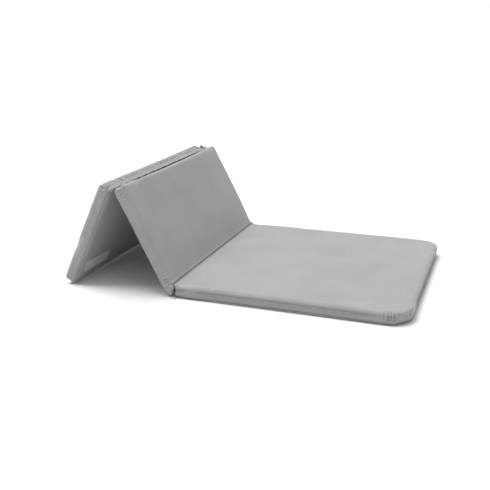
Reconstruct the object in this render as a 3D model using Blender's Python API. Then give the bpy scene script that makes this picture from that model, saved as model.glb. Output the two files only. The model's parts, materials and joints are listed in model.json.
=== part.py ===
"""Folding kneeling pad of three foam panels: a long base panel and two short ones that fold up as a prop.

Metres, +Z up. The origin is the centre of the base panel's underside, +X runs along the base panel to
its rounded free end, and +Y runs across the pad, along the folds. The front fold joins the top edges of
the base and middle panels. The rear fold joins the underside edges of the middle and end panels, so the
pad folds up in a zigzag. Here the middle panel leans back and the end panel props it up.
"""

import math

import bmesh
import bpy

# Overall sizes
PAD_WIDTH = 0.450
BASE_LENGTH = 0.432
MIDDLE_LENGTH = 0.203
END_LENGTH = 0.215
FOOT_SPREAD = 0.213  # front fold to the end panel's foot, along the floor

# What one panel is built from
FOAM_THICKNESS = 0.022
BOARD_THICKNESS = 0.0015
COVER_THICKNESS = 0.0008
WELT_DIAMETER = 0.003
FREE_CORNER_RADIUS = 0.045  # the base panel's two free corners
CORNER_RADIUS = 0.016  # every other corner in plan
BAND_INSET = 0.0005  # side band behind the welts
BOARD_INSET = 0.006  # stiffener board inside the panel's outline
SMALLEST_RADIUS = 0.001

# Fold webs, between the ends of two panels
WEB_THICKNESS = 0.0008
WEB_LEG = 0.008  # how far the web lies down each panel's end
WEB_END_INSET = 0.006  # web short of the pad's sides

# Blank sewn label under the end panel
LABEL_LENGTH = 0.090
LABEL_WIDTH = 0.025
LABEL_THICKNESS = 0.0006
LABEL_FROM_SIDE = 0.020
LABEL_FROM_FOOT = 0.022

# Clearances
GAP = 0.0003  # between pieces that touch
FACE_CLEARANCE = 0.002  # between two panels folded flat together

# Facets
CORNER_STEPS = 8
WELT_RESOLUTION = 2

# Worked out from the values above
PANEL_THICKNESS = FOAM_THICKNESS + BOARD_THICKNESS + 2 * COVER_THICKNESS + 3 * GAP
END_GAP = WEB_THICKNESS + 1.5 * GAP  # fold axis to the end of each panel
FRONT_RISE = FACE_CLEARANCE / 2  # top faces to the front fold's axis
REAR_RISE = (FACE_CLEARANCE + GAP + LABEL_THICKNESS) / 2  # undersides to the rear fold's axis
WELT_RADIUS = WELT_DIAMETER / 2
COVER_INSET = WELT_DIAMETER + GAP
BAND_MARGIN = WELT_DIAMETER + 2 * GAP  # side band's edges from the panel's two faces
FOAM_INSET = BAND_INSET + COVER_THICKNESS + GAP
FOAM_MARGIN = COVER_THICKNESS + GAP  # foam below the top face
FOAM_EDGE = 2 * WELT_RADIUS + GAP + math.sqrt(2) * (WELT_RADIUS + GAP) - FOAM_INSET - FOAM_MARGIN


class Panel:
    """One panel in the frame of its empty: its ends in x, its underside in z, and its corner radii."""

    def __init__(self, name, empty, low_x, high_x, underside, high_radius):
        self.name = name
        self.empty = empty
        self.low_x = low_x
        self.high_x = high_x
        self.underside = underside
        self.high_radius = high_radius


def clear_scene():
    """Remove every object that is there already."""
    for item in list(bpy.data.objects):
        bpy.data.objects.remove(item)


def make_material(name, colour, roughness):
    """Plain material of one colour."""
    material = bpy.data.materials.new(name)
    material.use_nodes = True
    shader = material.node_tree.nodes["Principled BSDF"]
    shader.inputs["Base Color"].default_value = (*colour, 1.0)
    shader.inputs["Roughness"].default_value = roughness
    shader.inputs["Metallic"].default_value = 0.0
    return material


def make_empty(name, parent=None, location=(0, 0, 0), turn=0.0):
    """Empty that carries a panel, turned about its own Y axis."""
    empty = bpy.data.objects.new(name, None)
    bpy.context.scene.collection.objects.link(empty)
    empty.parent = parent
    empty.location = location
    empty.rotation_euler = (0, turn, 0)
    return empty


def add_object(name, data, parent, location, material):
    """Link mesh or curve data to the scene as one named piece."""
    piece = bpy.data.objects.new(name, data)
    bpy.context.scene.collection.objects.link(piece)
    piece.parent = parent
    piece.location = location
    data.materials.append(material)
    return piece


def add_mesh(name, shape, parent, location, material):
    """Turn a bmesh into one named piece."""
    data = bpy.data.meshes.new(name)
    shape.to_mesh(data)
    shape.free()
    return add_object(name, data, parent, location, material)


def outline(panel, inset):
    """Plan outline of a panel, drawn in by inset, anticlockwise from its low-x, low-y corner."""
    half = PAD_WIDTH / 2 - inset
    corners = (
        (panel.low_x + inset, 1, -half, 1, CORNER_RADIUS),
        (panel.high_x - inset, -1, -half, 1, panel.high_radius),
        (panel.high_x - inset, -1, half, -1, panel.high_radius),
        (panel.low_x + inset, 1, half, -1, CORNER_RADIUS),
    )
    points = []
    for quarter, (x, inward_x, y, inward_y, radius) in enumerate(corners):
        radius = max(radius - inset, SMALLEST_RADIUS)
        for step in range(CORNER_STEPS + 1):
            angle = math.radians(180 + 90 * (quarter + step / CORNER_STEPS))
            points.append((
                x + inward_x * radius + radius * math.cos(angle),
                y + inward_y * radius + radius * math.sin(angle),
            ))
    return points


def extruded(points, reach):
    """Prism on a closed line of 3-D points, pushed out by the vector reach."""
    shape = bmesh.new()
    face = shape.faces.new([shape.verts.new(point) for point in points])
    pushed = bmesh.ops.extrude_face_region(shape, geom=[face])
    moved = [item for item in pushed["geom"] if isinstance(item, bmesh.types.BMVert)]
    bmesh.ops.translate(shape, verts=moved, vec=reach)
    bmesh.ops.recalc_face_normals(shape, faces=shape.faces)
    return shape


def make_sheet(name, panel, inset, margin, thickness, material):
    """Flat layer with the panel's outline, margin above the underside."""
    flat = [(x, y, 0) for x, y in outline(panel, inset)]
    place = (0, 0, panel.underside + margin)
    return add_mesh(name, extruded(flat, (0, 0, thickness)), panel.empty, place, material)


def make_foam(name, panel, material):
    """Foam block with its long edges cut back behind the welts."""
    margin = COVER_THICKNESS + BOARD_THICKNESS + 2 * GAP
    foam = make_sheet(name, panel, FOAM_INSET, margin, FOAM_THICKNESS, material)
    bevel = foam.modifiers.new("edges", "BEVEL")
    bevel.width = FOAM_EDGE
    bevel.segments = 1
    bevel.limit_method = "ANGLE"
    bevel.angle_limit = math.radians(60)
    return foam


def make_side_band(name, panel, material):
    """Upright fabric band round the panel, between its two welts."""
    height = PANEL_THICKNESS - 2 * BAND_MARGIN
    shape = bmesh.new()
    plan = outline(panel, BAND_INSET)
    low = [shape.verts.new((x, y, 0)) for x, y in plan]
    high = [shape.verts.new((x, y, height)) for x, y in plan]
    for here in range(len(plan)):
        after = (here + 1) % len(plan)
        shape.faces.new((low[here], low[after], high[after], high[here]))
    place = (0, 0, panel.underside + BAND_MARGIN)
    band = add_mesh(name, shape, panel.empty, place, material)
    wall = band.modifiers.new("wall", "SOLIDIFY")
    wall.thickness = COVER_THICKNESS
    wall.offset = -1
    wall.use_even_offset = True
    return band


def make_welt(name, panel, height, material):
    """Corded seam round the panel, its centre at height above the underside."""
    data = bpy.data.curves.new(name, "CURVE")
    data.dimensions = "3D"
    data.bevel_depth = WELT_RADIUS
    data.bevel_resolution = WELT_RESOLUTION
    plan = outline(panel, WELT_RADIUS)
    line = data.splines.new("POLY")
    line.points.add(len(plan) - 1)
    for point, (x, y) in zip(line.points, plan):
        point.co = (x, y, 0, 1)
    line.use_cyclic_u = True
    return add_object(name, data, panel.empty, (0, 0, panel.underside + height), material)


def make_panel(panel, fabric, welt, foam, board):
    """Every piece of one covered panel."""
    name = panel.name
    make_sheet(f"{name}_underside_cover", panel, COVER_INSET, 0, COVER_THICKNESS, fabric)
    board_margin = COVER_THICKNESS + GAP
    make_sheet(f"{name}_stiffener_board", panel, BOARD_INSET, board_margin, BOARD_THICKNESS, board)
    make_foam(f"{name}_foam_core", panel, foam)
    top_margin = PANEL_THICKNESS - COVER_THICKNESS
    make_sheet(f"{name}_top_cover", panel, COVER_INSET, top_margin, COVER_THICKNESS, fabric)
    make_side_band(f"{name}_side_band", panel, fabric)
    make_welt(f"{name}_underside_welt", panel, GAP + WELT_RADIUS, welt)
    make_welt(f"{name}_top_welt", panel, PANEL_THICKNESS - GAP - WELT_RADIUS, welt)


def turned(x, z, angle):
    """A point of the x-z plane turned about the Y axis."""
    return x * math.cos(angle) + z * math.sin(angle), z * math.cos(angle) - x * math.sin(angle)


def strip_section(points, thickness):
    """Outline of an even strip along a line of three points, with a mitred bend and square ends."""
    (ax, az), (bx, bz), (cx, cz) = points
    first = math.hypot(bx - ax, bz - az)
    second = math.hypot(cx - bx, cz - bz)
    out_first = (-(bz - az) / first, (bx - ax) / first)
    out_second = (-(cz - bz) / second, (cx - bx) / second)
    share = 1 + out_first[0] * out_second[0] + out_first[1] * out_second[1]
    mitre = ((out_first[0] + out_second[0]) / share, (out_first[1] + out_second[1]) / share)
    half = thickness / 2
    ways = (out_first, mitre, out_second)
    one_side = [(x + half * way[0], z + half * way[1]) for (x, z), way in zip(points, ways)]
    other_side = [(x - half * way[0], z - half * way[1]) for (x, z), way in zip(points, ways)]
    return one_side + other_side[::-1]


def make_fold_web(name, parent, axis, rise, turn, material):
    """Fabric strip that joins two panels: down the fixed panel's end, over the fold, down the other's."""
    offset = END_GAP - GAP - WEB_THICKNESS / 2
    down = -math.copysign(rise + WEB_LEG, turn)
    bend = (offset, offset / math.tan(turn / 2))
    section = strip_section([(offset, down), bend, turned(-offset, down, turn)], WEB_THICKNESS)
    half = PAD_WIDTH / 2 - WEB_END_INSET
    profile = [(x, -half, z) for x, z in section]
    return add_mesh(name, extruded(profile, (0, 2 * half, 0)), parent, axis, material)


def make_label(name, panel, material):
    """Blank label sewn flat under the end panel, near its foot."""
    low_x = panel.low_x + LABEL_FROM_FOOT
    low_y = -PAD_WIDTH / 2 + LABEL_FROM_SIDE
    corners = [(0, 0, 0), (LABEL_WIDTH, 0, 0), (LABEL_WIDTH, LABEL_LENGTH, 0), (0, LABEL_LENGTH, 0)]
    place = (low_x, low_y, panel.underside - GAP - LABEL_THICKNESS)
    return add_mesh(name, extruded(corners, (0, 0, LABEL_THICKNESS)), panel.empty, place, material)


def lean_angle():
    """Middle panel's angle above the floor, from the triangle of the two fold axes and the foot."""
    front_height = PANEL_THICKNESS + FRONT_RISE - WELT_RADIUS
    rise = FRONT_RISE + PANEL_THICKNESS + REAR_RISE
    to_rear_fold = math.hypot(MIDDLE_LENGTH + 2 * END_GAP, rise)
    rear_fold_to_foot = math.hypot(END_GAP + END_LENGTH - WELT_RADIUS, REAR_RISE + GAP + WELT_RADIUS)
    to_foot = math.hypot(FOOT_SPREAD, front_height)
    squares = to_foot ** 2 + to_rear_fold ** 2 - rear_fold_to_foot ** 2
    at_front_fold = math.acos(squares / (2 * to_foot * to_rear_fold))
    foot_below = math.atan2(front_height, FOOT_SPREAD)
    return at_front_fold - foot_below + math.atan2(rise, MIDDLE_LENGTH + 2 * END_GAP)


def end_panel_slope(fold_height):
    """Angle of the end panel above the floor, with its lower welt's foot run on the floor."""
    along = END_GAP + END_LENGTH - WELT_RADIUS
    above = REAR_RISE + GAP + WELT_RADIUS
    reach = math.hypot(along, above)
    return math.asin((fold_height - WELT_RADIUS) / reach) + math.atan2(above, along)


def main():
    """Build the pad, leaning back on its end panel."""
    clear_scene()
    fabric = make_material("polyester_cover", (0.40, 0.40, 0.405), 0.7)
    welt = make_material("polyester_welt", (0.38, 0.38, 0.385), 0.7)
    web = make_material("polyester_web", (0.34, 0.34, 0.345), 0.75)
    foam = make_material("closed_cell_foam", (0.62, 0.62, 0.60), 0.9)
    board = make_material("polypropylene_board", (0.08, 0.08, 0.085), 0.5)
    label = make_material("woven_label", (0.62, 0.62, 0.62), 0.8)

    front_fold = (-BASE_LENGTH / 2 - END_GAP, 0, PANEL_THICKNESS + FRONT_RISE)
    rear_fold = (-MIDDLE_LENGTH - 2 * END_GAP, 0, -FRONT_RISE - PANEL_THICKNESS - REAR_RISE)
    lean = lean_angle()
    rear_fold_height = front_fold[2] + turned(rear_fold[0], rear_fold[2], lean)[1]
    rear_turn = -lean - end_panel_slope(rear_fold_height)

    base_frame = make_empty("base_frame")
    middle_frame = make_empty("middle_frame", base_frame, front_fold, lean)
    end_frame = make_empty("end_frame", middle_frame, rear_fold, rear_turn)

    base = Panel("base", base_frame, -BASE_LENGTH / 2, BASE_LENGTH / 2, 0, FREE_CORNER_RADIUS)
    middle_low = -END_GAP - MIDDLE_LENGTH
    middle_underside = -FRONT_RISE - PANEL_THICKNESS
    middle = Panel("middle", middle_frame, middle_low, -END_GAP, middle_underside, CORNER_RADIUS)
    end = Panel("end", end_frame, -END_GAP - END_LENGTH, -END_GAP, REAR_RISE, CORNER_RADIUS)
    for panel in (base, middle, end):
        make_panel(panel, fabric, welt, foam, board)
    make_fold_web("front_fold_web", base_frame, front_fold, FRONT_RISE, lean, web)
    make_fold_web("rear_fold_web", middle_frame, rear_fold, REAR_RISE, rear_turn, web)
    make_label("label", end, label)


main()
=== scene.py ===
import json
import math

import bmesh
import bpy
from mathutils import Matrix, Vector, noise


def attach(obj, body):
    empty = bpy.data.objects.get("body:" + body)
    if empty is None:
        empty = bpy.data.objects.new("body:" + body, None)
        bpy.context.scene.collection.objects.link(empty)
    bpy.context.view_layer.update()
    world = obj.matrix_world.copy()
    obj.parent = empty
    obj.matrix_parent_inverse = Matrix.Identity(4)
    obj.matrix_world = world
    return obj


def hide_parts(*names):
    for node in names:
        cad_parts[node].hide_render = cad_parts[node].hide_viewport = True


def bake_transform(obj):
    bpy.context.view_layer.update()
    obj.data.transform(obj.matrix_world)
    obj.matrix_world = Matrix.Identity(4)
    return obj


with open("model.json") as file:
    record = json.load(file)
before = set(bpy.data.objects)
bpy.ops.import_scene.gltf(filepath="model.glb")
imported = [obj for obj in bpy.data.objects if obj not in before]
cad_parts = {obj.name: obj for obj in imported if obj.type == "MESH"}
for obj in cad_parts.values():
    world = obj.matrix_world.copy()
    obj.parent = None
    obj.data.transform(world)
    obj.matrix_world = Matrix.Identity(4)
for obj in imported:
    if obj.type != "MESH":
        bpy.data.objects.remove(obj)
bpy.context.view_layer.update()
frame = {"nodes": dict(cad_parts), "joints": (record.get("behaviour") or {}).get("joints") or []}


# small helpers

def linearColour(code):  # sRGB hex to the linear values that shaders take
    channels = [int(code[i:i + 2], 16) / 255 for i in (1, 3, 5)]
    return [c / 12.92 if c <= 0.04045 else ((c + 0.055) / 1.055) ** 2.4 for c in channels] + [1.0]


def addNode(tree, kind, settings={}, values={}, links={}):
    node = tree.nodes.new(kind)
    for name, value in settings.items():
        setattr(node, name, value)
    for socket, value in values.items():
        node.inputs[socket].default_value = value
    for socket, source in links.items():
        tree.links.new(source, node.inputs[socket])
    return node


def selectOnly(thing):
    if bpy.context.mode != "OBJECT":
        bpy.ops.object.mode_set(mode="OBJECT")
    bpy.ops.object.select_all(action="DESELECT")
    thing.select_set(True)
    bpy.context.view_layer.objects.active = thing


def pickEdges(thing, wanted):  # enter edit mode with only the wanted edges selected
    selectOnly(thing)
    bpy.ops.object.mode_set(mode="EDIT")
    bpy.ops.mesh.select_mode(type="EDGE")
    bpy.ops.mesh.select_all(action="DESELECT")
    shape = bmesh.from_edit_mesh(thing.data)
    for edge in shape.edges:
        if wanted(edge.verts[0].co, edge.verts[1].co):
            edge.select_set(True)
    bmesh.update_edit_mesh(thing.data)


def pickFaces(thing, wanted):
    selectOnly(thing)
    bpy.ops.object.mode_set(mode="EDIT")
    bpy.ops.mesh.select_mode(type="FACE")
    bpy.ops.mesh.select_all(action="DESELECT")
    shape = bmesh.from_edit_mesh(thing.data)
    for face in shape.faces:
        if wanted(face.calc_center_median(), face.normal):
            face.select_set(True)
    bmesh.update_edit_mesh(thing.data)


def applyModifier(thing, kind, settings):
    selectOnly(thing)
    modifier = thing.modifiers.new(kind.lower(), kind)
    for name, value in settings.items():
        setattr(modifier, name, value)
    bpy.ops.object.modifier_apply(modifier=modifier.name)


def placeFinished(thing, material, crispDeg=None):
    selectOnly(thing)
    bpy.ops.object.transform_apply(location=True, rotation=True, scale=True)
    if crispDeg is None:
        bpy.ops.object.shade_smooth()
    else:
        bpy.ops.object.shade_smooth_by_angle(angle=math.radians(crispDeg))
    thing.data.materials.clear()
    thing.data.materials.append(material)


# where the three panels are

def panelTilt(nodeName):  # the turn about Y that lays the panel's cover level
    widest = max(frame["nodes"][nodeName].data.polygons, key=lambda face: face.area)
    normal = widest.normal if widest.normal.z > 0 else -widest.normal
    return math.atan2(normal.x, normal.z)


def panelLimits(name, tilt):  # the panel's corners once it is turned level
    level = Matrix.Rotation(-tilt, 3, "Y")
    points = []
    for part in ("top_welt", "underside_welt", "top_cover", "underside_cover"):
        points += [level @ v.co for v in frame["nodes"][f"{name}_{part}"].data.vertices]
    low = Vector([min(p[i] for p in points) for i in range(3)])
    high = Vector([max(p[i] for p in points) for i in range(3)])
    return low, high


foldAxis = {joint["name"]: Vector(joint["pos_m"]) for joint in frame["joints"]}
panels = {}
for name in ("base", "middle", "end"):
    tilt = panelTilt(f"{name}_top_cover")
    low, high = panelLimits(name, tilt)
    panels[name] = {"tilt": tilt, "low": low, "high": high}
    print("panel", name, "tilt", round(math.degrees(tilt), 2), [round(v, 4) for v in (*low, *high)])


# materials

cloths = {
    "wovenPolyesterCover": {"colour": "#9D9D9D", "shade": "#949495", "roughness": 0.62, "sheen": 0.25,
                            "threadMm": 1.1, "weaveDepth": 0.05, "creaseDepth": 0.35},
    "polyesterSeamTape": {"colour": "#98989A", "shade": "#8C8C8E", "roughness": 0.66, "sheen": 0.2,
                          "threadMm": 0.9, "weaveDepth": 0.08, "creaseDepth": 0.1},
    "polyesterFoldWeb": {"colour": "#9E9EA0", "shade": "#929294", "roughness": 0.66, "sheen": 0.2,
                         "threadMm": 1.0, "weaveDepth": 0.08, "creaseDepth": 0.5},
    "wovenSatinLabel": {"colour": "#DADAD8", "shade": "#CECECC", "roughness": 0.45, "sheen": 0.15,
                        "threadMm": 0.8, "weaveDepth": 0.06, "creaseDepth": 0.1},
    "polyesterThread": {"colour": "#86868A", "shade": "#7C7C80", "roughness": 0.5, "sheen": 0.1,
                        "threadMm": 0.6, "weaveDepth": 0.05, "creaseDepth": 0.0},
}
creaseMm = 55.0        # how far apart the cloth's slow creases lie
bandsPerMetre = 3.14   # what a wave texture draws at scale 1


def wovenPolyester(name):
    # plain-woven polyester: an even matt grey with a faint sheen where it turns away
    cloth = cloths[name]
    material = bpy.data.materials.new(name)
    material.use_nodes = True
    tree = material.node_tree
    shader = tree.nodes["Principled BSDF"]
    shader.inputs["Roughness"].default_value = cloth["roughness"]
    shader.inputs["IOR"].default_value = 1.5
    shader.inputs["Sheen Weight"].default_value = cloth["sheen"]
    shader.inputs["Sheen Roughness"].default_value = 0.45
    place = addNode(tree, "ShaderNodeTexCoord").outputs["Object"]
    # real threads are about 0.35 mm apart; they are drawn three times coarser so that they show
    waves = {"Scale": 1000 / cloth["threadMm"] / bandsPerMetre, "Distortion": 0.4, "Detail": 1.0}
    warp, weft = (addNode(tree, "ShaderNodeTexWave",
                          {"wave_type": "BANDS", "bands_direction": way, "wave_profile": "SIN"},
                          waves, {"Vector": place}) for way in ("Y", "DIAGONAL"))
    weave = addNode(tree, "ShaderNodeMath", {"operation": "MULTIPLY"}, {},
                    {0: warp.outputs["Fac"], 1: weft.outputs["Fac"]})
    # dye and handling give the cloth slow changes of tone
    cloud = addNode(tree, "ShaderNodeTexNoise", {}, {"Scale": 14.0, "Detail": 4.0, "Roughness": 0.55},
                    {"Vector": place})
    fleck = addNode(tree, "ShaderNodeTexNoise", {}, {"Scale": 900.0, "Detail": 2.0}, {"Vector": place})
    tone = addNode(tree, "ShaderNodeMath", {"operation": "MULTIPLY_ADD"}, {1: 0.35},
                   {0: fleck.outputs["Fac"], 2: cloud.outputs["Fac"]})
    ramp = addNode(tree, "ShaderNodeMapRange", {}, {"From Min": 0.45, "From Max": 0.9},
                   {"Value": tone.outputs[0]})
    mix = addNode(tree, "ShaderNodeMix", {"data_type": "RGBA"}, {}, {"Factor": ramp.outputs["Result"]})
    for socket in mix.inputs:
        if socket.type == "RGBA":
            socket.default_value = linearColour(cloth["colour" if socket.name == "A" else "shade"])
    colourOut = [socket for socket in mix.outputs if socket.type == "RGBA"][0]
    tree.links.new(colourOut, shader.inputs["Base Color"])
    crease = addNode(tree, "ShaderNodeTexNoise", {}, {"Scale": 1000 / creaseMm, "Detail": 2.0},
                     {"Vector": place})
    soft = addNode(tree, "ShaderNodeBump", {}, {"Strength": cloth["creaseDepth"], "Distance": 0.0012},
                   {"Height": crease.outputs["Fac"]})
    fine = addNode(tree, "ShaderNodeBump", {}, {"Strength": cloth["weaveDepth"] * 4, "Distance": 0.00025},
                   {"Height": weave.outputs[0], "Normal": soft.outputs["Normal"]})
    tree.links.new(fine.outputs["Normal"], shader.inputs["Normal"])
    return material


coverCloth, seamTape, webCloth, labelCloth, threadStuff = (wovenPolyester(name) for name in cloths)
print("materials made")


# the padded panels

pad = {
    "startInsetMm": 1.0,   # the pad starts this much smaller and swells back
    "capMm": 1.6,          # no point ends further from its start
    "stillMm": 60.0,       # the swelling fades out over this much next to the front fold
    "ridgeCornerMm": 8.0,  # plan corners at the rear fold
    "footCornerMm": 8.0,   # and at the end panel's foot
    "foldCornerMm": 2.0,   # and at the front fold
    "freeCornerMm": 45.0,  # and at the base panel's free end
    "seamHeight": 0.58,    # share of the thickness at which the side seam runs
    "puckerMm": 0.9,       # how far the cloth puckers by the seam
    "bandMm": 9.0,         # how deep into the panel the seam's pull and puckers reach
    "bunchMm": 14.0,       # how deep the folds at a bunched corner reach
    "gatherInMm": 12.0,    # how deep the gathers at the ridge reach
    "gatherGapMm": 23.0,
    "foldLipMm": 5.0,      # the covers meet squarely over this depth at the front fold
}

voxelMm = {"base": 4.0, "middle": 3.3, "end": 3.3}
seamDepthMm = {"base": 1.3, "middle": 1.0, "end": 0.5}
gatherMm = {"middle": 0.9, "end": 2.2}
endStretchMm = {"base": 1.9, "middle": 0.0, "end": 0.0}  # the base's end fills its side of the fold

# how far each panel's edges are rolled over, in millimetres: along its sides, and at its low and high end
rolls = {
    "base": {"top": 7.5, "bottom": 3.0,
             "lowTop": 1.0, "lowBottom": 3.0, "highTop": 4.0, "highBottom": 3.0},
    "middle": {"top": 6.5, "bottom": 4.0,
               "lowTop": 3.0, "lowBottom": 2.0, "highTop": 1.0, "highBottom": 2.0},
    "end": {"top": 4.0, "bottom": 9.0,
            "lowTop": 7.0, "lowBottom": 4.0, "highTop": 3.5, "highBottom": 2.0},
}


def outlinePoint(x, y, low, high, lowCorner, highCorner):
    # depth inside the panel's outline and the direction that points out of it
    cx, cy = (low.x + high.x) / 2, (low.y + high.y) / 2
    hx, hy = (high.x - low.x) / 2, (high.y - low.y) / 2
    radius = highCorner if x > cx else lowCorner
    sx, sy = math.copysign(1, x - cx), math.copysign(1, y - cy)
    qx, qy = abs(x - cx) - hx + radius, abs(y - cy) - hy + radius
    if qx > 0 and qy > 0:
        length = max(math.hypot(qx, qy), 1e-9)
        return radius - length, Vector((sx * qx / length, sy * qy / length, 0))
    if qx > qy:
        return radius - qx, Vector((sx, 0, 0))
    return radius - qy, Vector((0, sy, 0))


def rollEdges(block, low, high, corners, rollSizes):
    # the cover is rolled over the foam's edges, more on some edges than on others
    for vertex in block.data.vertices:
        at = vertex.co
        if at.x > high.x + 0.001:
            continue
        depth, out = outlinePoint(at.x, at.y, low, high, *corners)
        atTop = at.z > (low.z + high.z) / 2
        side = rollSizes["top" if atTop else "bottom"]
        end = rollSizes[("high" if out.x > 0 else "low") + ("Top" if atTop else "Bottom")]
        share = out.x * out.x
        roll = (side + (end - side) * share) / 1000
        fromFace = high.z - at.z if atTop else at.z - low.z
        u, v = roll - depth, roll - fromFace
        if u <= 0 or v <= 0:
            continue
        grown = max(u, v) / math.hypot(u, v)
        vertex.co = at - out * u * (1 - grown) + Vector((0, 0, (-1 if atTop else 1) * v * (1 - grown)))


def roughPad(name, panel, low, high, corners, heelTurns, axis):
    inset = pad["startInsetMm"] / 1000
    start, stop = low + Vector((inset,) * 3), high - Vector((inset,) * 3)
    start.x -= endStretchMm[panel] / 1000
    bpy.ops.object.select_all(action="DESELECT")
    bpy.ops.mesh.primitive_cube_add(size=1, location=(start + stop) / 2)
    block = bpy.context.active_object
    block.name = name
    block.scale = stop - start
    bpy.ops.object.transform_apply(location=True, rotation=True, scale=True)

    def upright(a, b):
        return abs(a.x - b.x) < 1e-6 and abs(a.y - b.y) < 1e-6

    pickEdges(block, lambda a, b: upright(a, b) and a.x < start.x + 1e-5)
    bpy.ops.mesh.bevel(offset=corners[0] - inset, segments=8, affect="EDGES")
    bpy.ops.object.mode_set(mode="OBJECT")
    if heelTurns:  # the soft foot of the panel fills the fold's wedge, down to the floor
        pickFaces(block, lambda at, out: out.x > 0.9)
        for turn in heelTurns:
            bpy.ops.mesh.extrude_region_move()
            shape = bmesh.from_edit_mesh(block.data)
            moving = [vertex for vertex in shape.verts if vertex.select]
            bmesh.ops.rotate(shape, verts=moving, cent=axis, matrix=Matrix.Rotation(turn, 3, "Y"))
            bmesh.update_edit_mesh(block.data)
        bpy.ops.object.mode_set(mode="OBJECT")
    else:
        pickEdges(block, lambda a, b: upright(a, b) and a.x > stop.x - 1e-5)
        bpy.ops.mesh.bevel(offset=corners[1] - inset, segments=10, affect="EDGES")
        bpy.ops.object.mode_set(mode="OBJECT")
    applyModifier(block, "REMESH", {"mode": "VOXEL", "voxel_size": voxelMm[panel] / 1000})
    return block


swelling = {"steps": 20, "springs": 0.06, "mass": 0.3, "stretch": 12, "shear": 4, "bend": 0.4,
            "pressure": 4, "growth": 0.02}


def swellCover(block, foldDepth):
    # the cover is a little too big for its foam and is blown out against soft springs
    rest = [v.co.copy() for v in block.data.vertices]
    hold = block.vertex_groups.new(name="foam")
    hold.add(list(range(len(rest))), swelling["springs"], "REPLACE")
    selectOnly(block)
    modifier = block.modifiers.new("cover", "CLOTH")
    settings = modifier.settings
    settings.quality = 5
    settings.mass = swelling["mass"]
    settings.tension_stiffness = swelling["stretch"]
    settings.compression_stiffness = swelling["stretch"]
    settings.shear_stiffness = swelling["shear"]
    settings.bending_stiffness = swelling["bend"]
    settings.use_pressure = True
    settings.uniform_pressure_force = swelling["pressure"]
    settings.shrink_min = -swelling["growth"]
    settings.shrink_max = -swelling["growth"]
    settings.vertex_group_mass = "foam"
    settings.pin_stiffness = 1.0
    settings.effector_weights.gravity = 0
    modifier.collision_settings.use_self_collision = False
    modifier.point_cache.frame_start = 1
    modifier.point_cache.frame_end = swelling["steps"]
    for step in range(1, swelling["steps"] + 1):
        bpy.context.scene.frame_set(step)
    bpy.ops.object.modifier_apply(modifier=modifier.name)
    cap = pad["capMm"] / 1000
    moved = 0
    for vertex, start in zip(block.data.vertices, rest):
        step = vertex.co - start
        moved = max(moved, step.length)
        if step.length > cap:
            step = step * (cap / step.length)
        loose = min(1.0, max(0.0, foldDepth(start) / (pad["stillMm"] / 1000)))  # still at the front fold
        vertex.co = start + step * loose * loose * (3 - 2 * loose)
    bpy.context.scene.frame_set(1)
    block.vertex_groups.clear()
    print("cover swelled, furthest point moved", round(moved * 1000, 2), "mm before the cap")


def refineFaces(block, wanted):  # smaller faces where small folds are to come
    pickFaces(block, wanted)
    bpy.ops.mesh.subdivide(number_cuts=1, smoothness=0.0)
    bpy.ops.object.mode_set(mode="OBJECT")


def squareLip(block, low, high, atLow):
    # the covers of two panels meet along the front fold in a crisp line
    reach, way = pad["foldLipMm"] / 1000, -1 if atLow else 1
    squareness, easeIn, beyond = 0.92, 2.5, 0.0015
    for vertex in block.data.vertices:
        at = vertex.co
        u = reach - ((at.x - low.x) if atLow else (high.x - at.x))
        w = reach - (high.z - at.z)
        if min(u, w) <= 0 or u > reach + beyond:
            continue
        share = min(1.0, easeIn * min(u, w) / reach)
        grown = 1 + squareness * share * (reach / max(u, w) - 1)
        vertex.co = at + Vector((way * u * (grown - 1), 0, w * (grown - 1)))


seamWidth = {"above": 0.07, "below": 0.24, "puckers": 0.30}  # as shares of the panel's thickness


def sewSides(block, low, high, corners, seamEnd, depthMm):
    # the side seam tucks the cover in, the band below it slopes out again, and the cloth puckers
    thickness, reach = high.z - low.z, pad["bandMm"] / 1000
    for vertex in block.data.vertices:
        at = vertex.co
        depth, out = outlinePoint(at.x, at.y, low, high, *corners)
        if depth > reach or at.x > seamEnd:
            continue
        near = 1 - max(depth, 0) / reach
        wander = 0.035 * noise.noise(Vector((at.x * 25, at.y * 25, 9.0)))
        height = (at.z - low.z) / thickness - wander
        above = height - pad["seamHeight"]
        valley = math.exp(-(above / (seamWidth["above"] if above > 0 else seamWidth["below"])) ** 2)
        around = math.exp(-(above / seamWidth["puckers"]) ** 2)
        ripple = noise.noise(Vector((at.x * 140, at.y * 140, 3.0)))
        fine = noise.noise(Vector((at.x * 330, at.y * 330, height * 1.5)))
        turning = 1.0 if 0.02 < abs(out.x) < 0.98 else 0.0
        pull = depthMm * valley * (1 + 0.35 * ripple)
        pucker = pad["puckerMm"] * around * (0.6 * ripple + 0.5 * fine) * (1 + 0.8 * turning)
        vertex.co = at - out * near * (pull + pucker) / 1000


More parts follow.
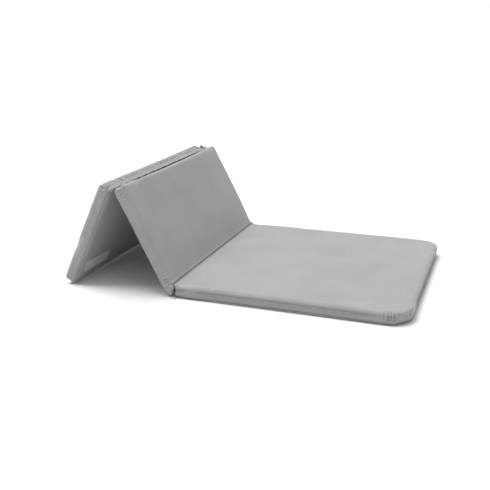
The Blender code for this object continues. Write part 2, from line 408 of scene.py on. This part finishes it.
def bunchCorner(block, low, high, corners, place, reach, gapMm, depthMm):
    # upright folds where the band is eased round a corner, running out over the top edge
    inwards = pad["bunchMm"] / 1000
    for vertex in block.data.vertices:
        at = vertex.co
        away = math.hypot(at.x - place[0], at.y - place[1])
        if away > reach:
            continue
        depth, out = outlinePoint(at.x, at.y, low, high, *corners)
        if depth > inwards:
            continue
        near = (1 - max(depth, 0) / inwards) * math.cos(away / reach * math.pi / 2) ** 0.7
        along = (at.x - place[0]) * -out.y + (at.y - place[1]) * out.x
        height = (at.z - low.z) / (high.z - low.z)
        phase = along * 2000 * math.pi / gapMm + 2.6 * noise.noise(Vector((along * 90, at.z * 70, 4.0)))
        fold = (0.5 + 0.5 * math.sin(phase)) ** 1.6 - 0.25
        fade = math.exp(-((height - 0.62) / 0.45) ** 2)
        push = near * fade * fold * depthMm / 1000
        up = 0.45 if height > 0.75 else 0.0
        vertex.co = at - out * push - Vector((0, 0, up * push))


def gatherEnd(block, low, high, atLow, depthMm):
    # the cover is gathered where the fold web is sewn on, in slanting ridges
    reach, gap, way = pad["gatherInMm"] / 1000, pad["gatherGapMm"] / 1000, -1 if atLow else 1
    for vertex in block.data.vertices:
        at = vertex.co
        depth = at.x - low.x if atLow else high.x - at.x
        if depth > reach:
            continue
        near = 1 - max(depth, 0) / reach
        height = (at.z - low.z) / (high.z - low.z)
        near *= 0.3 + 0.7 * min(1, max(0, height / 0.35))  # less under the web
        wander = noise.noise(Vector((at.y * 22, at.z * 30, 7.0))) + noise.noise(Vector((at.y * 9, 0, 2.0)))
        phase = at.y * 2 * math.pi / gap + at.z * 240 + 4.2 * wander
        strength = 0.75 + 0.6 * noise.noise(Vector((at.y * 14, 5.0, 0)))
        lift = 0.6 * strength * (1 - 2 * abs(math.sin(phase / 2)) ** 0.7)
        lift += 0.6 * noise.noise(Vector((at.y * 190 + at.z * 120, at.z * 60, 1.0)))
        lift += 0.35 * noise.noise(Vector((at.y * 420 + at.z * 200, at.z * 140, 6.0)))
        vertex.co = at + Vector((way * depthMm / 1000 * near * lift, 0, 0.0005 * near * lift))


heel = {"turns": 5, "turnDeg": -12.0, "reachMm": 26.4, "endRoundMm": 8.0,
        "pressMm": 13.0, "gapDeg": 1.0, "curlDegPerMm": 1.3}


def roundHeel(block, high, axis):
    # the foot stays within reach of the fold's axis and is rounded off at its two ends
    reach, rounding = heel["reachMm"] / 1000, heel["endRoundMm"] / 1000
    for vertex in block.data.vertices:
        at = vertex.co
        if at.x < high.x - 0.002:
            continue
        fromEnd = max(high.y - abs(at.y), 0)
        limit = reach
        if fromEnd < rounding:
            limit = reach - rounding + math.sqrt(max(rounding ** 2 - (rounding - fromEnd) ** 2, 0))
        arm = Vector((at.x - axis.x, 0, at.z - axis.z))
        if arm.length > limit:
            arm *= limit / arm.length
            vertex.co = Vector((axis.x + arm.x, at.y, axis.z + arm.z))


def curlHeel(block, axis):
    # the heel presses on the base panel's end and leaves a small wedge open at the floor
    for vertex in block.data.vertices:
        at = vertex.co
        arm = Vector((at.x - axis.x, at.z - axis.z))
        lean = math.atan2(arm.x, -arm.y)  # nought is straight down, and less is towards the rear
        past = max(0.0, arm.length * 1000 - heel["pressMm"])
        limit = -math.radians(heel["gapDeg"] + heel["curlDegPerMm"] * past)
        if lean > limit and arm.y < -0.002:
            vertex.co.x = axis.x + arm.length * math.sin(limit)
            vertex.co.z = axis.z - arm.length * math.cos(limit)


def makePad(name, panel, corners, heelTurns=(), gathers=(), bunches=()):
    low, high = panels[panel]["low"], panels[panel]["high"]
    level = Matrix.Rotation(-panels[panel]["tilt"], 3, "Y")
    axis = level @ foldAxis["front_fold"]
    block = roughPad(name, panel, low, high, corners, heelTurns, axis)
    inset = Vector((pad["startInsetMm"] / 1000,) * 3)
    rollEdges(block, low + inset, high - inset, corners, rolls[panel])
    foldDepth = {"base": lambda at: at.x - low.x, "middle": lambda at: high.x - at.x, "end": lambda at: 1.0}
    swellCover(block, foldDepth[panel])
    applyModifier(block, "SUBSURF", {"levels": 1, "render_levels": 1})
    if panel != "end":
        slack = Vector((0.0007, 0, 0))
        squareLip(block, low - slack, high + slack, panel == "base")

    def worked(at, out):  # the sides, the gathered ends and the bunched corners
        return (abs(out.y) > 0.55 or (gathers and abs(out.x) > 0.6)
                or any(math.hypot(at.x - spot[0], at.y - spot[1]) < reach for spot, reach, *_ in bunches))

    refineFaces(block, worked)
    seamEnd = high.x - 0.006 if heelTurns else math.inf  # the foot below the fold has no side seam
    sewSides(block, low, high, corners, seamEnd, seamDepthMm[panel])
    for atLow in gathers:
        gatherEnd(block, low, high, atLow, gatherMm[panel])
    for bunch in bunches:
        bunchCorner(block, low, high, corners, *bunch)
    if heelTurns:
        roundHeel(block, high, axis)
    block.data.transform(Matrix.Rotation(panels[panel]["tilt"], 4, "Y"))
    if heelTurns:
        curlHeel(block, foldAxis["front_fold"])
    for vertex in block.data.vertices:  # flat where it rests on the floor
        vertex.co.z = max(vertex.co.z, 0.0003)
    placeFinished(block, coverCloth)
    print(name, len(block.data.polygons), "faces")
    return block


ridge, foot, small, free = (pad[key] / 1000 for key in
                            ("ridgeCornerMm", "footCornerMm", "foldCornerMm", "freeCornerMm"))
panels["base"]["corners"] = (small, free)
panels["middle"]["corners"] = (ridge, small)
panels["end"]["corners"] = (foot, ridge)
baseLow, baseHigh = panels["base"]["low"], panels["base"]["high"]
midLow, midHigh = panels["middle"]["low"], panels["middle"]["high"]
endLow, endHigh = panels["end"]["low"], panels["end"]["high"]
# each bunch is its place, its reach in metres, the gap between its folds and their depth in millimetres
basePad = makePad("basePad", "base", panels["base"]["corners"], bunches=(
    ((baseHigh.x - 0.034, baseLow.y), 0.019, 6.5, 3.2),
    ((baseHigh.x - 0.034, baseHigh.y), 0.019, 6.5, 2.4),
    ((baseLow.x + 0.012, baseLow.y), 0.010, 6.0, 0.7)))
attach(basePad, "base")
middlePad = makePad("middlePad", "middle", panels["middle"]["corners"], gathers=(True,), bunches=(
    ((midHigh.x - 0.008, midLow.y), 0.022, 6.0, 2.2),
    ((midHigh.x - 0.008, midHigh.y), 0.022, 6.0, 1.8),
    ((midLow.x + 0.006, midLow.y), 0.020, 6.0, 1.6),
    ((midLow.x + 0.006, midHigh.y), 0.020, 6.0, 1.4)),
    heelTurns=(math.radians(heel["turnDeg"]),) * heel["turns"])
endPad = makePad("endPad", "end", panels["end"]["corners"], gathers=(False,), bunches=(
    ((endHigh.x - 0.006, endLow.y), 0.018, 6.0, 1.2),
    ((endHigh.x - 0.006, endHigh.y), 0.018, 6.0, 1.2),
    ((endLow.x + 0.010, endLow.y), 0.016, 5.5, 1.0),
    ((endLow.x + 0.010, endHigh.y), 0.016, 5.5, 1.0)))
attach(endPad, "end")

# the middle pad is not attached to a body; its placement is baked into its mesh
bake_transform(middlePad)
for piece, panel in ((basePad, "base"), (middlePad, "middle"), (endPad, "end")):
    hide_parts(*[f"{panel}_{part}" for part in
                         ("underside_cover", "stiffener_board", "foam_core", "top_cover", "side_band")])
print("pads done")


# seams round the pads

seam = {
    "radiusMm": 0.55,
    "insetMm": {"base": 2.1, "middle": 2.1, "end": 2.9},
    "footHeightMm": 2.4,
    "footInsetMm": 2.2,
    "stitchMm": 3.2,        # from one stitch to the next
    "stitchLengthMm": 2.0,
    "stitchThickMm": 0.56,
    "stitchAboveMm": 1.7,   # the stitches run this far above the side seam
    "stitchInsetMm": 1.4,
}


def gathered(panel, at, reach):  # is this point at the gathered end of its panel?
    low, high = panels[panel]["low"], panels[panel]["high"]
    return (panel == "middle" and at.x < low.x + reach) or (panel == "end" and at.x > high.x - reach)


def outlineLoop(low, high, corner, freeCorner, inset, height, steps=8):
    points = []
    ends = ((low.x, 1, low.y, 1, corner), (high.x, -1, low.y, 1, freeCorner),
            (high.x, -1, high.y, -1, freeCorner), (low.x, 1, high.y, -1, corner))
    for quarter, (x, wayX, y, wayY, radius) in enumerate(ends):
        for step in range(steps + 1):
            angle = math.radians(180 + 90 * (quarter + step / steps))
            points.append(Vector((x + wayX * radius + (radius - inset) * math.cos(angle),
                                  y + wayY * radius + (radius - inset) * math.sin(angle), height)))
    return points


def evenlySpaced(loop, gap):
    lengths = [(loop[(i + 1) % len(loop)] - loop[i]).length for i in range(len(loop))]
    count = int(sum(lengths) / gap)
    spacing, found, along, here = sum(lengths) / count, [], 0.0, 0
    for number in range(count):
        goal = number * spacing
        while along + lengths[here] < goal:
            along += lengths[here]
            here += 1
        share = (goal - along) / max(lengths[here], 1e-9)
        found.append(loop[here].lerp(loop[(here + 1) % len(loop)], share))
    return found


def makeSeam(name, panel, height, inset, nodeName):
    low, high, tilt = (panels[panel][key] for key in ("low", "high", "tilt"))
    loop = evenlySpaced(outlineLoop(low, high, *panels[panel]["corners"], inset, height), 0.006)
    bpy.ops.object.select_all(action="DESELECT")
    line = bpy.data.curves.new(name, "CURVE")
    line.dimensions = "3D"
    line.bevel_depth = seam["radiusMm"] / 1000
    line.bevel_resolution = 2
    spline = line.splines.new("POLY")
    spline.points.add(len(loop) - 1)
    for point, at in zip(spline.points, loop):
        sink = max(0.0, 0.0012 * noise.noise(at * 45))  # the band's folds cover it here and there
        sink += 0.0008 + 0.0012 * noise.noise(at * 20) if gathered(panel, at, 0.008) else 0.0
        inwards = Vector((0, 0, at.z)) - at
        at = at + inwards.normalized() * sink + Vector((0, 0, 0.0002 * noise.noise(at * 60)))
        point.co = (at.x, at.y, at.z, 1)
    spline.use_cyclic_u = True
    ring = bpy.data.objects.new(name, line)
    bpy.context.scene.collection.objects.link(ring)
    selectOnly(ring)
    bpy.ops.object.convert(target="MESH")
    ring = bpy.context.active_object
    ring.data.transform(Matrix.Rotation(tilt, 4, "Y"))
    placeFinished(ring, seamTape)
    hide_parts(nodeName)
    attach(ring, panel)


def makeStitches(name, panel, height):
    low, high, tilt = (panels[panel][key] for key in ("low", "high", "tilt"))
    loop = outlineLoop(low, high, *panels[panel]["corners"], seam["stitchInsetMm"] / 1000, height, steps=10)
    places = evenlySpaced(loop, seam["stitchMm"] / 1000)
    half = Vector((seam["stitchLengthMm"], seam["stitchThickMm"], seam["stitchThickMm"])) / 2000
    shape = bmesh.new()
    for i, at in enumerate(places):
        if gathered(panel, at, 0.012):
            continue
        along = (places[(i + 1) % len(places)] - places[i - 1]).normalized()
        turn = Matrix.Rotation(math.atan2(along.y, along.x), 4, "Z")
        made = bmesh.ops.create_icosphere(shape, subdivisions=1, radius=1.0)
        size = Matrix.Diagonal((*half, 1))
        bmesh.ops.transform(shape, matrix=Matrix.Translation(at) @ turn @ size, verts=made["verts"])
    data = bpy.data.meshes.new(name)
    shape.to_mesh(data)
    shape.free()
    stitches = bpy.data.objects.new(name, data)
    bpy.context.scene.collection.objects.link(stitches)
    stitches.data.transform(Matrix.Rotation(tilt, 4, "Y"))
    placeFinished(stitches, threadStuff)
    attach(stitches, panel)


for panel in ("base", "middle", "end"):
    low, high = panels[panel]["low"], panels[panel]["high"]
    seamZ = low.z + (high.z - low.z) * pad["seamHeight"]
    makeSeam(f"{panel}SideSeam", panel, seamZ, seam["insetMm"][panel] / 1000, f"{panel}_top_welt")
    makeSeam(f"{panel}FootSeam", panel, low.z + seam["footHeightMm"] / 1000, seam["footInsetMm"] / 1000,
             f"{panel}_underside_welt")
    makeStitches(f"{panel}Stitching", panel, seamZ + seam["stitchAboveMm"] / 1000)
print("seams done")


# fold webs

web = {"thicknessMm": 0.8, "legMm": 8.5, "gatherMm": 1.1, "hemMm": 6.0, "hemLiftMm": 1.2}


def makeWeb(name, axis, profile, nodeName):
    # a flat strip that is laid along the profile, gathered and hemmed at its two ends
    halfWidth = panels["base"]["high"].y + 0.001
    lengths = [0.0]
    for a, b in zip(profile, profile[1:]):
        lengths.append(lengths[-1] + (b - a).length)
    bpy.ops.object.select_all(action="DESELECT")
    bpy.ops.mesh.primitive_grid_add(x_subdivisions=16, y_subdivisions=420, size=1)
    strip = bpy.context.active_object
    strip.name = name
    for vertex in strip.data.vertices:
        share, y = vertex.co.x + 0.5, vertex.co.y * 2 * halfWidth
        goal = share * lengths[-1]
        here = max(i for i in range(len(lengths) - 1) if lengths[i] <= goal + 1e-9)
        part = (goal - lengths[here]) / (lengths[here + 1] - lengths[here])
        at = profile[here].lerp(profile[here + 1], min(part, 1))
        along = (profile[here + 1] - profile[here]).normalized()
        out = Vector((-along.z, 0, along.x))
        slant = y + 0.006 * share
        wrinkle = noise.noise(Vector((slant * 90, share * 2, 5.0)))
        wrinkle += 0.6 * noise.noise(Vector((slant * 230, share * 3, 2.0)))
        hem = max(0.0, 1 - (halfWidth - abs(y)) / (web["hemMm"] / 1000))
        lift = web["gatherMm"] / 1000 * wrinkle * (1 + hem)
        lift += web["hemLiftMm"] / 1000 * hem * math.sin(share * math.pi)
        vertex.co = (axis.x + at.x + out.x * lift, y, axis.z + at.z + out.z * lift)
    applyModifier(strip, "SOLIDIFY", {"thickness": web["thicknessMm"] / 1000, "offset": 0.0})
    applyModifier(strip, "SUBSURF", {"levels": 1, "render_levels": 1})
    placeFinished(strip, webCloth)
    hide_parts(nodeName)
    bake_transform(strip)
    print(name, "flat size", round(2 * halfWidth, 4), round(lengths[-1], 4))


def leg(angle, length, steps=4):  # points from the fold axis outward
    return [Vector((math.cos(angle), 0, math.sin(angle))) * length * (i + 1) / steps for i in range(steps)]


legLength = web["legMm"] / 1000
rear = foldAxis["rear_fold"]
middleUp = math.radians(90) - panels["middle"]["tilt"]  # up the middle panel's end
endUp = math.radians(90) - panels["end"]["tilt"]        # up the end panel's end
rise = Vector((0, 0, -0.0002))
rearProfile = ([p + rise for p in reversed(leg(middleUp, legLength))] + [rise * 0.6]
               + [p + rise for p in leg(endUp, legLength)])
makeWeb("rearFoldWeb", rear, rearProfile,
        "rear_fold_web")
baseDown = math.radians(-90)
heelDown = math.radians(-97)
frontProfile = (list(reversed(leg(baseDown, legLength))) + [Vector((-0.0004, 0, 0.0))]
                + leg(heelDown, legLength * 0.7))
makeWeb("frontFoldWeb", foldAxis["front_fold"], frontProfile,
        "front_fold_web")
print("fold webs done")


# the web's ends are turned in and bunched into small tufts

tufts = {
    "rearTuft": {"from": "rear_fold", "body": "middle", "seed": 2.0,
                 "offset": (0, -0.0002, 0.0008), "size": (0.0048, 0.0044, 0.0042)},
    "ridgeTuft": {"from": "rear_fold", "body": "end", "seed": 5.0,
                  "offset": (-0.0072, 0.0022, 0.0050), "size": (0.0042, 0.0044, 0.0038)},
    "frontTuft": {"from": "front_fold", "body": None, "seed": 8.0,
                  "offset": (-0.0036, -0.0006, -0.0064), "size": (0.0036, 0.0040, 0.0048)},
}


def makeTuft(name, side, values):
    place = foldAxis[values["from"]]
    edge = panels["base"]["high"].y
    shift, size = values["offset"], values["size"]
    bpy.ops.object.select_all(action="DESELECT")
    bpy.ops.mesh.primitive_uv_sphere_add(segments=56, ring_count=28, radius=1)
    knot = bpy.context.active_object
    knot.name = name
    for vertex in knot.data.vertices:
        at = vertex.co
        turn = math.atan2(at.z, at.x)
        wander = noise.noise(at * 1.1 + Vector((values["seed"], side, 0)))
        fold = 0.11 * math.sin(4 * turn + 3.5 * wander + 1.8 * at.y) + 0.28 * wander
        at = at * (1 + fold)
        vertex.co = (place.x + shift[0] + at.x * size[0], side * (edge - shift[1]) + at.y * size[1],
                     place.z + shift[2] + at.z * size[2])
    placeFinished(knot, coverCloth)
    if values["body"]:
        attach(knot, values["body"])
    else:  # squeezed between two panels, it is not attached to a body; its placement is baked into its mesh
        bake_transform(knot)


for name, values in tufts.items():
    for side, sideName in ((-1, "Near"), (1, "Far")):
        makeTuft(name + sideName, side, values)
print("web tufts done")


# sewn label under the end panel

label = {"borderMm": 2.0, "borderDepthMm": 0.15, "cornerMm": 1.5, "edgeMm": 0.12}
tilt = panels["end"]["tilt"]
level = Matrix.Rotation(-tilt, 3, "Y")
corners = [level @ v.co for v in frame["nodes"]["label"].data.vertices]
low = Vector([min(p[i] for p in corners) for i in range(3)])
high = Vector([max(p[i] for p in corners) for i in range(3)])
bpy.ops.object.select_all(action="DESELECT")
bpy.ops.mesh.primitive_cube_add(size=1, location=(low + high) / 2)
labelPiece = bpy.context.active_object
labelPiece.name = "sewnLabel"
labelPiece.scale = high - low
bpy.ops.object.transform_apply(location=True, rotation=True, scale=True)
pickEdges(labelPiece, lambda a, b: abs(a.x - b.x) < 1e-6 and abs(a.y - b.y) < 1e-6)
bpy.ops.mesh.bevel(offset=label["cornerMm"] / 1000, segments=4, affect="EDGES")
pickFaces(labelPiece, lambda at, out: out.z < -0.9)
bpy.ops.mesh.inset(thickness=label["borderMm"] / 1000, depth=-label["borderDepthMm"] / 1000)
bpy.ops.object.mode_set(mode="OBJECT")
applyModifier(labelPiece, "BEVEL", {"width": label["edgeMm"] / 1000, "segments": 2})
labelPiece.data.transform(Matrix.Rotation(tilt, 4, "Y"))
placeFinished(labelPiece, labelCloth, crispDeg=35)
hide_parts("label")
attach(labelPiece, "end")
print("label done")


# floor, light and camera

studio = {"floor": "#E6E6E6", "worldStrength": 0.52, "key": 2.9, "keySoftDeg": 36, "fill": 0.38,
          "fillSoftDeg": 60}
view = {"place": (0.3482, -1.4252, 0.5141), "tiltDeg": 72.69, "turnDeg": 19.53, "lensMm": 56.05}

bpy.ops.object.select_all(action="DESELECT")
bpy.ops.mesh.primitive_plane_add(size=400, location=(0, 0, -0.0004))
floor = bpy.context.active_object
floor.name = "studioFloor"
paper = bpy.data.materials.new("paintedStudioFloor")  # matt white paint, no gloss
paper.use_nodes = True
floorShader = paper.node_tree.nodes["Principled BSDF"]
floorShader.inputs["Base Color"].default_value = linearColour(studio["floor"])
floorShader.inputs["Roughness"].default_value = 0.9
floorShader.inputs["Specular IOR Level"].default_value = 0.1
floor.data.materials.append(paper)

world = bpy.data.worlds.new("whiteStudio")
bpy.context.scene.world = world
world.use_nodes = True
sky = world.node_tree
sky.nodes["Background"].inputs["Color"].default_value = (0.94, 0.97, 1.0, 1)
sky.nodes["Background"].inputs["Strength"].default_value = studio["worldStrength"]
paperWall = addNode(sky, "ShaderNodeBackground", {}, {"Color": (1, 1, 1, 1), "Strength": 1.0})
seen = addNode(sky, "ShaderNodeLightPath")  # the wall is seen as white paper but lights the pad less
wall = addNode(sky, "ShaderNodeMixShader", {}, {}, {0: seen.outputs["Is Camera Ray"],
               1: sky.nodes["Background"].outputs[0], 2: paperWall.outputs[0]})
sky.links.new(wall.outputs[0], sky.nodes["World Output"].inputs["Surface"])


def softLight(name, towards, strength, softness, colour):
    bpy.ops.object.light_add(type="SUN", location=Vector(towards) * 3)
    lamp = bpy.context.active_object
    lamp.name = name
    lamp.data.energy = strength
    lamp.data.angle = math.radians(softness)
    lamp.data.color = colour
    lamp.rotation_euler = (-Vector(towards)).to_track_quat("-Z", "Y").to_euler()


softLight("keyLight", (-0.34, 0.02, 0.94), studio["key"], studio["keySoftDeg"], (1.0, 0.982, 0.96))
softLight("fillLight", (0.45, -0.10, 0.88), studio["fill"], studio["fillSoftDeg"], (1.0, 1.0, 0.99))

cameraData = bpy.data.cameras.new("mainCamera")
cameraData.sensor_width = 36.0
cameraData.lens = view["lensMm"]
camera = bpy.data.objects.new("mainCamera", cameraData)
bpy.context.scene.collection.objects.link(camera)
camera.location = view["place"]
camera.rotation_euler = (math.radians(view["tiltDeg"]), 0, math.radians(view["turnDeg"]))
bpy.context.scene.camera = camera
bpy.context.scene.view_settings.view_transform = "Standard"
print("stage done")
